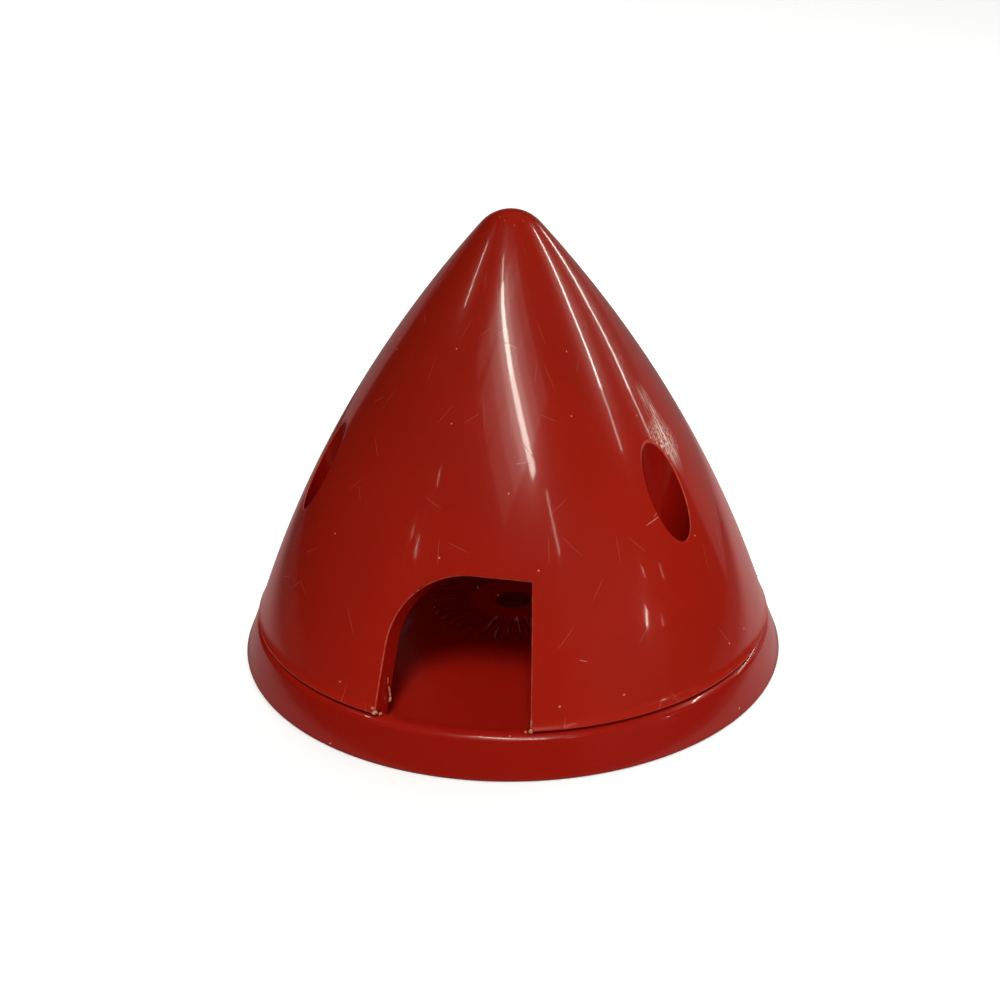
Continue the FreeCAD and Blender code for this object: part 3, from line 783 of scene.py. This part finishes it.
def plate_outline():
    """Section of the plate, from the bore along the back face and round to the front."""
    lean = math.cos(FLANGE_TAPER)
    rise = math.sin(FLANGE_TAPER)
    taper = math.degrees(FLANGE_TAPER)
    foot = FLANGE_RADIUS - FOOT_RADIUS * (1 + rise) / lean
    shoulder_level = LEDGE_LEVEL - SHOULDER_RADIUS
    shoulder = FLANGE_RADIUS - (SHOULDER_RADIUS + shoulder_level * rise) / lean
    rim = SOCKET_RADIUS + SOCKET_EDGE
    edge = PLATE_BREAK
    foot_steps, shoulder_steps, socket_steps = 6, 12, 5
    outline = [(BORE_RADIUS, edge), (BORE_RADIUS + edge, 0)]
    outline += [(HUB_PAD_RADIUS - edge, 0), (HUB_PAD_RADIUS, edge)]
    outline += [(HUB_PAD_RADIUS, CORE_DEPTH), (REAR_BAND_RADIUS, CORE_DEPTH)]
    outline += [(REAR_BAND_RADIUS, edge), (REAR_BAND_RADIUS + edge, 0)]
    outline += arc(foot, FOOT_RADIUS, FOOT_RADIUS, -90, taper, foot_steps)
    outline += arc(shoulder, shoulder_level, SHOULDER_RADIUS, taper, 90, shoulder_steps)
    outline += arc(rim, LEDGE_LEVEL - SOCKET_EDGE, SOCKET_EDGE, 90, 180, socket_steps)
    outline += [(SOCKET_RADIUS, FLOOR_LEVEL)]
    outline += [(BORE_RADIUS + edge, FLOOR_LEVEL), (BORE_RADIUS, FLOOR_LEVEL - edge)]
    return outline + outline[:1]


def make_serrations():
    """Radial ridges that grip the hub, with crests that the mould left slightly blunt."""
    half = SERRATION_WIDTH / 2
    low = FLOOR_LEVEL - SERRATION_HEIGHT
    high = FLOOR_LEVEL + SERRATION_HEIGHT
    blunt = SERRATION_BLUNT
    side = high - SERRATION_CREST_DROP
    section = [(-half, low), (half, low), (half, FLOOR_LEVEL), (blunt, side),
               (0, high), (-blunt, side), (-half, FLOOR_LEVEL)]
    straight = SERRATION_START, SERRATION_END - SERRATION_RUNOUT
    ends = [[(r, y, z) for y, z in section] for r in straight]
    end_level = FLOOR_LEVEL + SERRATION_END_HEIGHT
    ends.append([(SERRATION_END, y, min(z, end_level)) for y, z in section])
    return repeat(loft("serrations", ends), SERRATIONS)


def make_ribs():
    half = RIB_WIDTH / 2
    low = (HUB_PAD_RADIUS - RIB_WIDTH, -half, 0)
    high = (REAR_BAND_RADIUS + RIB_WIDTH, half, (CORE_DEPTH + FLOOR_LEVEL) / 2)
    return repeat(turned(block("ribs", low, high), FIRST_WELL), 2 * BLADES)


def make_bosses():
    edge = PLATE_BREAK
    outline = [(0, 0), (BOSS_RADIUS - edge, 0), (BOSS_RADIUS, edge),
               (BOSS_RADIUS, BOSS_TOP - edge), (BOSS_RADIUS - edge, BOSS_TOP), (0, BOSS_TOP)]
    boss = lathe("bosses", outline, steps=AROUND_BOSS)
    boss.data.transform(Matrix.Translation((WELL_CIRCLE * MM, 0, 0)))
    return repeat(turned(boss, FIRST_WELL), BLADES)


def make_pilot_holes():
    low, high = -1, BOSS_TOP + 1
    outline = [(0, low), (PILOT_RADIUS, low), (PILOT_RADIUS, high), (0, high)]
    hole = lathe("pilot_holes", outline, steps=AROUND_PILOT)
    hole.data.transform(Matrix.Translation((WELL_CIRCLE * MM, 0, 0)))
    return repeat(turned(hole, FIRST_WELL), BLADES)


def make_backplate(material):
    """Disc with its ribs, its serrations and the bosses that the screws bite into."""
    plate = paint(lathe("backplate_moulding", plate_outline()), material)
    combine(plate, make_ribs(), "UNION")
    combine(plate, make_bosses(), "UNION")
    combine(plate, make_serrations(), "UNION")
    combine(plate, make_pilot_holes(), "DIFFERENCE")
    smooth(plate, SHARP_FROM)
    finish_piece(plate, "red_nylon_backplate", "backplate")


# Screws


def make_thread():
    """Ridge of the tapping thread, wound up the core, which it grows out of."""
    start = SCREW_SEAT - SCREW_LENGTH + SCREW_POINT / 2
    turns = int((SCREW_SEAT - THREAD_RUNOUT - start) / THREAD_PITCH)
    root = SCREW_CORE - THREAD_ROOT_DEPTH
    rings = []
    for k in range(turns * THREAD_STEPS + 1):
        angle = 2 * math.pi * k / THREAD_STEPS
        level = start + THREAD_PITCH * k / THREAD_STEPS
        grown = SCREW_CORE + THREAD_START + THREAD_GROWTH * k / THREAD_STEPS
        crest = min(THREAD_RADIUS, grown)
        way = Vector((math.cos(angle), math.sin(angle), 0))
        rings.append([way * root + Vector((0, 0, level - THREAD_ROOT_HALF)),
                      way * crest + Vector((0, 0, level - THREAD_CREST_HALF)),
                      way * crest + Vector((0, 0, level + THREAD_CREST_HALF)),
                      way * root + Vector((0, 0, level + THREAD_ROOT_HALF))])
    return loft("thread", rings)


def cross_recess(top):
    """Cuts the cross into a screw's head, with two bars that taper towards the bottom."""
    long_way = RECESS_ARM, 0.45
    short_way = RECESS_HALF_WIDTH, 0.7
    corners = ((-1, -1), (1, -1), (1, 1), (-1, 1))
    above = top + 0.01
    bars = []
    for name, (far_x, taper_x), (far_y, taper_y) in (("arm_x", long_way, short_way),
                                                     ("arm_y", short_way, long_way)):
        high = [(x * far_x, y * far_y, above) for x, y in corners]
        low = [(x * taper_x, y * taper_y, top - RECESS_DEPTH) for x, y, _ in high]
        bars.append(loft(name, [low, high]))
    return combine(bars[0], bars[1], "UNION")


def make_screw(number, material):
    """Self-tapping pan-head screw with a cross recess."""
    end = SCREW_SEAT - SCREW_LENGTH
    top = SCREW_SEAT + HEAD_HEIGHT
    outline = [(0, end), (POINT_RADIUS, end + POINT_BLUNT), (SCREW_CORE, end + SCREW_POINT),
               (SCREW_CORE, SCREW_SEAT - NECK_FILLET), (SCREW_CORE + NECK_FILLET, SCREW_SEAT),
               (HEAD_RADIUS - HEAD_EDGE, SCREW_SEAT), (HEAD_RADIUS, SCREW_SEAT + HEAD_EDGE)]
    outline += arc(HEAD_RADIUS - HEAD_ROUNDING, top - HEAD_ROUNDING, HEAD_ROUNDING, 0, 90,
                   HEAD_STEPS)
    outline += [(0, top)]
    screw = lathe(f"pan_head_screw_{number}", outline, steps=AROUND_SCREW)
    combine(screw, cross_recess(top), "DIFFERENCE")
    combine(screw, make_thread(), "UNION")
    angle = FIRST_WELL + PITCH * (number - 1)
    place = Vector((math.cos(angle), math.sin(angle), 0)) * WELL_CIRCLE * MM
    screw.data.transform(Matrix.Translation(place))
    paint(screw, material)
    smooth(screw, SCREW_SHARP_FROM)
    finish_piece(screw, "zinc_plated_steel", f"cone_screw_{number}")


# Room

# Pale floor under the part, and the wall that it curves up into.
TABLE_LEVEL = -0.05
TABLE_RADIUS = 2600
SWEEP_RADIUS = 800
WALL_HEIGHT = 2000

# Patch of table that shows in the gloss alone.
SHEEN_LEVEL = -0.02
SHEEN_SIZE = 400

# Middle of the part, and how far off the lamps stand, in metres.
MIDDLE = Vector((0, 0, 30)) * MM
LAMP_DISTANCE = 1.4

TUBE_TINT = (1.0, 0.98, 0.87)
RED_TINT = (1.85, 1.0, 0.94)

# Soft light on the surfaces: azimuth and elevation of its source, strength, angle.
SUNS = (
    ("window light", 57, 15, 0.8, 36),
    ("ceiling light", 8, 55, 1.95, 16),
    ("back light", 180, 45, 1.2, 40))

# Lamps that the gloss mirrors: directions along each, width in degrees, radiance.
CEILING_TUBES = (
    ("left tube", ((-85, 56.5), (-78, 54.5), (-71, 51)), 1.2, 8),
    ("middle tube, dim end", ((-23, 73), (-13, 69.5)), 1.6, 7),
    ("middle tube", ((-13, 69.5), (-4, 65.5), (13, 56.5)), 2.4, 16),
    ("middle tube, lower half", ((13, 56.5), (28.5, 41)), 2.6, 12))
OTHER_LAMPS = (
    ("middle tube, low end", ((35.5, 38), (38.5, 28.5)), 0.9, 4),
    ("right tube", ((131, 46.5), (111, 43.4), (100, 36)), 1.15, 25),
    ("right tube, dim end", ((100, 36), (94, 29)), 1.1, 6),
    ("far right tube", ((155, 27), (137, 28.6), (123.5, 23.6)), 0.9, 17),
    ("far right tube, dim end", ((123.5, 23.6), (119, 18.5)), 0.9, 7),
    ("small lamp, left", ((-37.5, 36), (-37, 34)), 0.35, 9),
    ("small lamp, lower left", ((-40, 25.5), (-39, 23)), 0.35, 9),
    ("small lamp, far left", ((-44.5, 26), (-44, 24.5)), 0.3, 6),
    ("small lamp, right", ((76, 12.6), (74, 10.6)), 0.8, 17),
    ("small lamp, upper right", ((80, 17.2), (80, 16)), 0.5, 7),
    ("small lamp, far right", ((90, 14), (89.5, 12.4)), 0.5, 4),
    ("small lamp, low right", ((82.5, 9.5), (82, 8.3)), 0.4, 4))

# Lit surfaces that the gloss mirrors, each a soft band in layers of width and radiance.
FAR_WALL = ((128, 3), (150, 3), (180, 3), (-150, 3), (-124, 3))
FAR_WALL_LAYERS = ((24, 0.13), (44, 0.05))
LIT_CEILING = ((-12, 69.5), (-2, 65), (13, 56.5), (26, 44))
LIT_CEILING_LAYERS = ((9, 1.5), (20, 0.55), (34, 0.25))

# Camera: place in millimetres, turns in degrees, lens in millimetres on a 36 mm sensor.
CAMERA_PLACE = (29.842, -126.240, 70.868)
CAMERA_TURNS = (68.1529, 0.1233, 12.4529)
CAMERA_LENS = 35.897
CAMERA_SENSOR = 36.0
CAMERA_SHIFT = -0.02574


def make_floor():
    """Pale floor that curves up into a wall all round."""
    material, tree = new_material("matt white paper")
    place = add_node(tree, "ShaderNodeTexCoord").outputs["Object"]
    fibres = add_node(tree, "ShaderNodeTexNoise", Vector=place, Scale=1 / (2.5 * MM), Detail=4.0)
    tint = add_node(tree, "ShaderNodeMix", {"data_type": "RGBA"},
                    i0=fibres.outputs["Fac"], i6=colour("#f7f7f6"), i7=colour("#fbfbfa"))
    shader = add_node(tree, "ShaderNodeBsdfPrincipled", Base_Color=tint.outputs[2],
                      Roughness=0.9, Specular_IOR_Level=0.0,
                      Emission_Color=colour("#ffffff"), Emission_Strength=0.2)
    output = add_node(tree, "ShaderNodeOutputMaterial")
    tree.links.new(shader.outputs["BSDF"], output.inputs["Surface"])
    curve = arc(TABLE_RADIUS, TABLE_LEVEL + SWEEP_RADIUS, SWEEP_RADIUS, -90, 0, 12)
    outline = [(0, TABLE_LEVEL), *curve, (TABLE_RADIUS + SWEEP_RADIUS, WALL_HEIGHT)]
    sweep = paint(lathe("sweep", outline, steps=64), material)
    sweep.visible_glossy = False
    sweep.visible_diffuse = False
    sweep.visible_shadow = False
    smooth(sweep, 30)


def make_sheen():
    """What the sides mirror of the table: a lit patch that widens behind the part."""
    material, tree = new_material("table seen in the gloss")
    place = add_node(tree, "ShaderNodeTexCoord").outputs["Object"]
    apart = add_node(tree, "ShaderNodeSeparateXYZ", Vector=place)
    away = add_node(tree, "ShaderNodeVectorMath", {"operation": "LENGTH"}, i0=place)
    # Half the patch's width is 54 mm at the axis, grows by 0.35 for each step to the back
    # and fades within 24 mm.
    wide = add_node(tree, "ShaderNodeMath", {"operation": "ABSOLUTE"}, i0=apart.outputs["X"])
    wide = add_node(tree, "ShaderNodeMath", {"operation": "MULTIPLY_ADD"},
                    i0=apart.outputs["Y"], i1=-0.35, i2=wide.outputs[0])
    level = add_node(tree, "ShaderNodeMapRange", Value=wide.outputs[0],
                     i1=54 * MM, i2=78 * MM, i3=1.0, i4=0.2).outputs["Result"]
    # The patch is brighter to the right and to the back, fades far off, and is dark under
    # the part. Each row: value, from and to in millimetres, share at either.
    fades = (
        (apart.outputs["X"], -60, 60, 0.18, 0.29),
        (apart.outputs["Y"], -70, 0, 0.35, 1.0),
        (away.outputs["Value"], 110, 220, 1.0, 0.5),
        (away.outputs["Value"], FLANGE_RADIUS - 1, FLANGE_RADIUS + 1, 0.0, 1.0))
    for value, low, high, start, end in fades:
        share = add_node(tree, "ShaderNodeMapRange", Value=value,
                         i1=low * MM, i2=high * MM, i3=start, i4=end)
        level = add_node(tree, "ShaderNodeMath", {"operation": "MULTIPLY"},
                         i0=level, i1=share.outputs["Result"]).outputs[0]
    glow = add_node(tree, "ShaderNodeEmission", Strength=level, Color=(*RED_TINT, 1.0))
    output = add_node(tree, "ShaderNodeOutputMaterial")
    tree.links.new(glow.outputs["Emission"], output.inputs["Surface"])
    deselect()
    bpy.ops.mesh.primitive_plane_add(size=SHEEN_SIZE * MM)
    sheen = paint(named("sheen"), material)
    sheen.data.transform(Matrix.Translation((0, 0, SHEEN_LEVEL * MM)))
    sheen.visible_camera = False
    sheen.visible_diffuse = False
    sheen.visible_shadow = False


def way_to(azimuth, elevation):
    """Direction from the part. Azimuth 0 is -Y, and 90 is +X."""
    a, e = math.radians(azimuth), math.radians(elevation)
    return Vector((math.sin(a) * math.cos(e), -math.cos(a) * math.cos(e), math.sin(e)))


def place_lamp(name, lamp):
    holder = bpy.data.objects.new(name, lamp)
    bpy.context.scene.collection.objects.link(holder)
    return holder


def strip_light(name, start, end, width, radiance, tint):
    """Straight lamp seen from the part between two directions, width in degrees."""
    first = MIDDLE + way_to(*start) * LAMP_DISTANCE
    last = MIDDLE + way_to(*end) * LAMP_DISTANCE
    middle = (first + last) / 2
    along = (last - first).normalized()
    back = -(MIDDLE - middle).normalized()
    lamp = bpy.data.lights.new(name, "AREA")
    lamp.shape = "RECTANGLE"
    lamp.size = (last - first).length
    lamp.size_y = 2 * LAMP_DISTANCE * math.tan(math.radians(width) / 2)
    lamp.energy = radiance * math.pi * lamp.size * lamp.size_y
    lamp.color = tint
    holder = place_lamp(name, lamp)
    turn = Matrix((along, back.cross(along), back)).transposed()
    holder.matrix_world = Matrix.Translation(middle) @ turn.to_4x4()
    return holder


def tube(name, path, width, radiance):
    """Lamp along a path of directions."""
    for start, end in zip(path, path[1:]):
        strip_light(name, start, end, width, radiance, TUBE_TINT)


def lit_surface(name, path, layers, tint):
    """Soft band along a path of directions, in the gloss alone."""
    for width, radiance in layers:
        for start, end in zip(path, path[1:]):
            strip = strip_light(name, start, end, width, radiance, tint)
            strip.visible_diffuse = False


def soft_sun(name, azimuth, elevation, strength, angle):
    lamp = bpy.data.lights.new(name, "SUN")
    lamp.energy = strength
    lamp.angle = math.radians(angle)
    holder = place_lamp(name, lamp)
    holder.rotation_euler = way_to(azimuth, elevation).to_track_quat("Z", "Y").to_euler()
    holder.visible_glossy = False


def inner_light():
    """Weak red light inside the cone, as much as comes through its wall."""
    lamp = bpy.data.lights.new("light through the nylon wall", "POINT")
    lamp.energy = 0.003
    lamp.color = (1.0, 0.08, 0.04)
    lamp.shadow_soft_size = 8 * MM
    holder = place_lamp(lamp.name, lamp)
    holder.location = Vector((0, 0, 38)) * MM
    holder.visible_glossy = False


def make_world():
    """Dim light from all round, on the surfaces alone."""
    world = bpy.data.worlds.new("studio")
    bpy.context.scene.world = world
    world.use_nodes = True
    background = world.node_tree.nodes["Background"]
    background.inputs["Color"].default_value = colour("#ffffff")
    background.inputs["Strength"].default_value = 0.08
    world.cycles_visibility.glossy = False


def make_lights():
    """Suns for the surfaces, and the room's lamps and lit walls for the gloss."""
    for sun in SUNS:
        soft_sun(*sun)
    inner_light()
    lit_surface("far wall", FAR_WALL, FAR_WALL_LAYERS, RED_TINT)
    for lamp in CEILING_TUBES:
        tube(*lamp)
    lit_surface("ceiling lit by the middle tube", LIT_CEILING, LIT_CEILING_LAYERS, TUBE_TINT)
    for lamp in OTHER_LAMPS:
        tube(*lamp)


def make_camera():
    lens = bpy.data.cameras.new("camera")
    lens.lens = CAMERA_LENS
    lens.sensor_width = CAMERA_SENSOR
    lens.shift_x = CAMERA_SHIFT
    lens.clip_start = 0.01
    lens.clip_end = 20.0
    holder = bpy.data.objects.new("camera", lens)
    holder.location = Vector(CAMERA_PLACE) * MM
    holder.rotation_euler = [math.radians(turn) for turn in CAMERA_TURNS]
    bpy.context.scene.collection.objects.link(holder)
    bpy.context.scene.camera = holder


make_camera()
red = moulded_nylon("red moulded nylon", "#ae1f10", "#951b0d", worn=True)
# A darker, redder copy of the nylon for the walls of the openings and wells: painted shade in
# these hollows.
shaded_inner_red = moulded_nylon("red moulded nylon, painted shade inside", "#a01207", "#8c0e05", worn=False)
dark_red = moulded_nylon("red moulded nylon of the plate", "#9f180c", "#95150a", worn=False)
# Paler red on the cut edges: partly burnished nylon, partly a painted highlight.
cut_edge_and_highlight = pulled_nylon("burnished cut edge of nylon with painted highlight", "#ae3324", "#c05243", size=0.6)
torn = pulled_nylon("torn pale nylon", "#ab5038", "#d89a7c", size=0.3)
zinc = zinc_plate("zinc plated steel")
make_cone(red, cut_edge_and_highlight, torn, shaded_inner_red)
make_backplate(dark_red)
for number in range(1, BLADES + 1):
    make_screw(number, zinc)
make_floor()
make_sheen()
make_world()
make_lights()
bpy.context.scene.view_settings.view_transform = "Standard"
